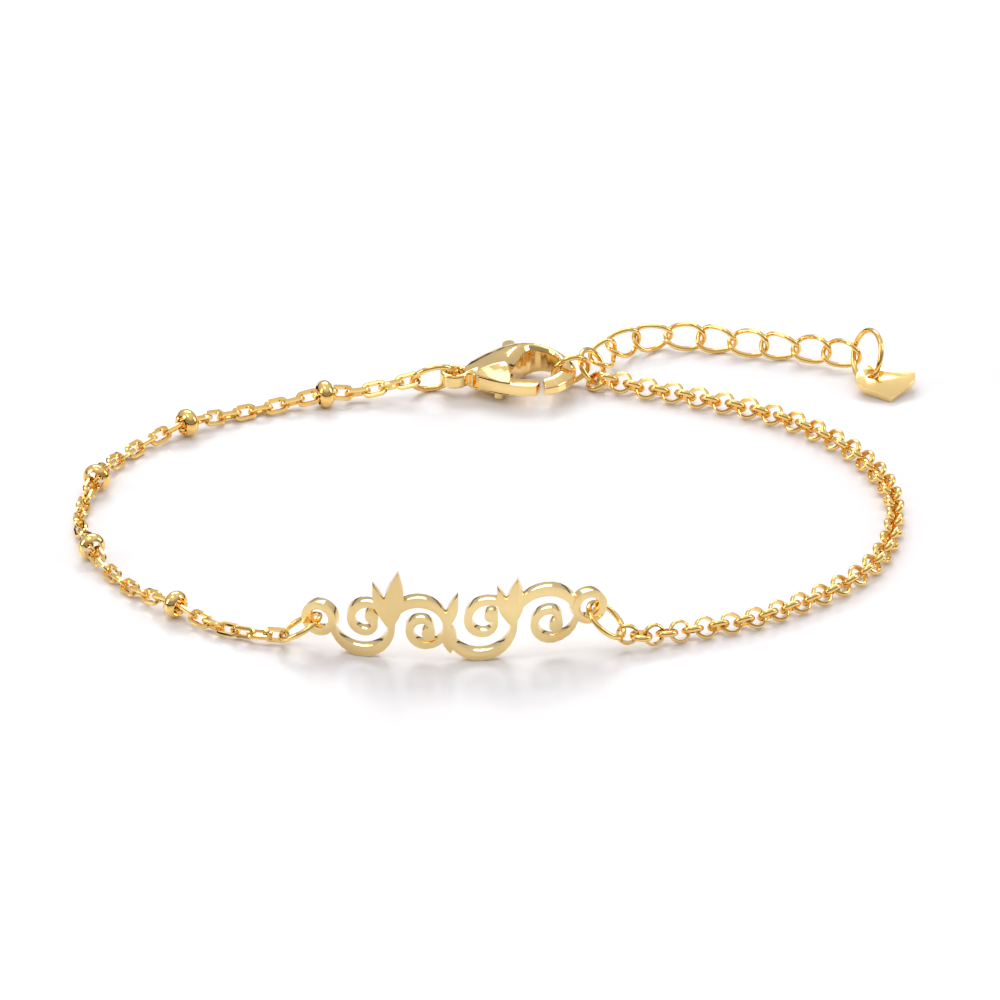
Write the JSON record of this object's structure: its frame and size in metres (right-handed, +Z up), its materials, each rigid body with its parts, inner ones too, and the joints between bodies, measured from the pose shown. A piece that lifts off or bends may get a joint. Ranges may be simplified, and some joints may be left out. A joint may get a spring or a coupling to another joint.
{
  "type": "nameplate bracelet",
  "caption": "Chain bracelet with a curved openwork front plate, a beaded cable chain, a rolo chain, a lobster clasp with a hinged lever, and an extender with a heart charm.",
  "frame": {"origin": "on the surface that the bracelet lies on, inside the loop, where the wrist axis meets the surface", "axes": "+X to the right along the front plate, +Y from the front plate to the clasp, +Z up from the surface"},
  "size_m": [0.0648, 0.0531, 0.0073],
  "materials": {
    "gold": "polished gold plate",
    "cut_gold": "faceted and polished gold plate"
  },
  "bodies": {
    "bracelet": {"nameplate": "gold", "plate_ring_left": "gold", "plate_ring_right": "gold", "cable_chain": "cut_gold", "satellite_bead_1": "cut_gold", "satellite_bead_2": "cut_gold", "satellite_bead_3": "cut_gold", "satellite_bead_4": "cut_gold", "satellite_bead_5": "cut_gold", "clasp_ring": "gold", "clasp_body": "gold", "clasp_pin": "gold", "hook_ring": "gold", "rolo_chain": "gold", "end_ring": "gold", "extender_link_1": "gold", "extender_link_2": "gold", "extender_link_3": "gold", "extender_link_4": "gold", "extender_link_5": "gold", "extender_link_6": "gold", "extender_link_7": "gold", "extender_link_8": "gold", "extender_link_9": "gold", "charm_ring": "gold", "heart_charm": "gold"},
    "lever": {"clasp_lever": "gold"}
  },
  "joints": [
    {"name": "clasp_lever", "type": "hinge", "parent": "bracelet", "child": "lever", "pos_m": [0.00081, 0.01967, 0.00152], "axis": [0, 0, 1], "range_deg": [0, 22], "stiffness_Nm_per_rad": 0.0003, "springref_deg": -22.92}
  ]
}
